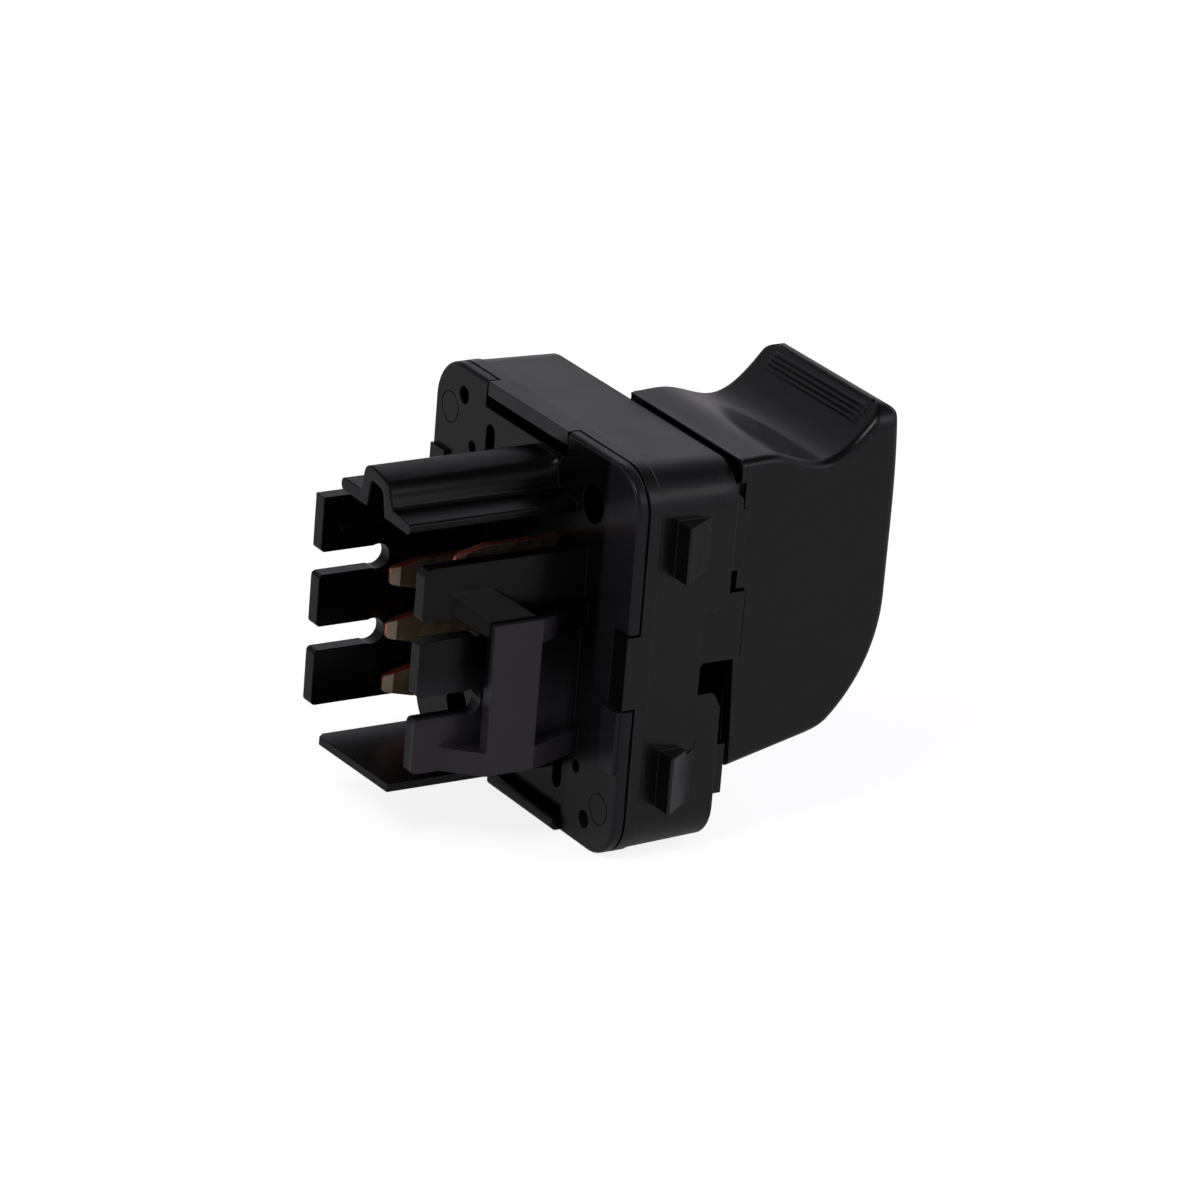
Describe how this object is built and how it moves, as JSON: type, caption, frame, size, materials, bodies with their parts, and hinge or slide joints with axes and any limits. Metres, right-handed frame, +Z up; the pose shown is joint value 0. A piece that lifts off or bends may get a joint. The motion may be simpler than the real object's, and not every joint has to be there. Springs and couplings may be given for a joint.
{
  "type": "power window switch",
  "caption": "Sprung rocker switch on a shallow moulded case with snap lugs, a keyed open-cornered connector shroud, blade terminals and a side latch strap.",
  "frame": {"origin": "middle of the rear plate's back face at the case's bottom end face, where the case stands", "axes": "+X across the width towards the side with the latch strap; +Y from the connector towards the rocker; +Z up the case, from the landing pad towards the finger beak"},
  "size_m": [0.0378, 0.0432, 0.0387],
  "materials": {
    "rear_moulding": "satin-gloss black glass-filled moulding",
    "case_moulding": "satin-gloss black moulding",
    "rocker_moulding": "satin-gloss black moulding",
    "plunger_moulding": "natural acetal",
    "brass": "stamped brass strip with bare sheared edges",
    "leaf_bronze": "rolled spring bronze",
    "rivet_brass": "headed brass",
    "contact_silver": "silver contact face",
    "spring_steel": "drawn spring wire"
  },
  "bodies": {
    "case": {"base": "rear_moulding", "housing": "case_moulding", "terminal_battery": "brass", "terminal_ground": "brass", "terminal_motor_up": "brass", "terminal_motor_down": "brass", "contact_leaf_up": "leaf_bronze", "leaf_rivet_up": "rivet_brass", "moving_contact_up": "contact_silver", "battery_contact_up": "contact_silver", "ground_contact_up": "contact_silver", "plunger_spring_up": "spring_steel", "contact_leaf_down": "leaf_bronze", "leaf_rivet_down": "rivet_brass", "moving_contact_down": "contact_silver", "battery_contact_down": "contact_silver", "ground_contact_down": "contact_silver", "plunger_spring_down": "spring_steel"},
    "rocker": {"rocker": "rocker_moulding"},
    "plunger_up": {"plunger_up": "plunger_moulding"},
    "plunger_down": {"plunger_down": "plunger_moulding"}
  },
  "joints": [
    {"name": "rocker_tilt", "type": "hinge", "parent": "case", "child": "rocker", "pos_m": [0.00683, 0.0092, 0.0198], "axis": [1, 0, 0], "range_deg": [-3, 3], "stiffness_Nm_per_rad": 0.8},
    {"name": "plunger_up_slide", "type": "slide", "parent": "case", "child": "plunger_up", "axis": [0, 1, 0], "range_m": [-0.0004, 0.0004], "deforming": ["plunger_spring_up", "contact_leaf_up", "moving_contact_up"]},
    {"name": "plunger_down_slide", "type": "slide", "parent": "case", "child": "plunger_down", "axis": [0, 1, 0], "range_m": [-0.0004, 0.0004], "deforming": ["plunger_spring_down", "contact_leaf_down", "moving_contact_down"]}
  ],
  "couplings": [
    {"joint": "plunger_up_slide", "follows": "rocker_tilt", "m_per_rad": -0.0075},
    {"joint": "plunger_down_slide", "follows": "rocker_tilt", "m_per_rad": 0.0075}
  ]
}
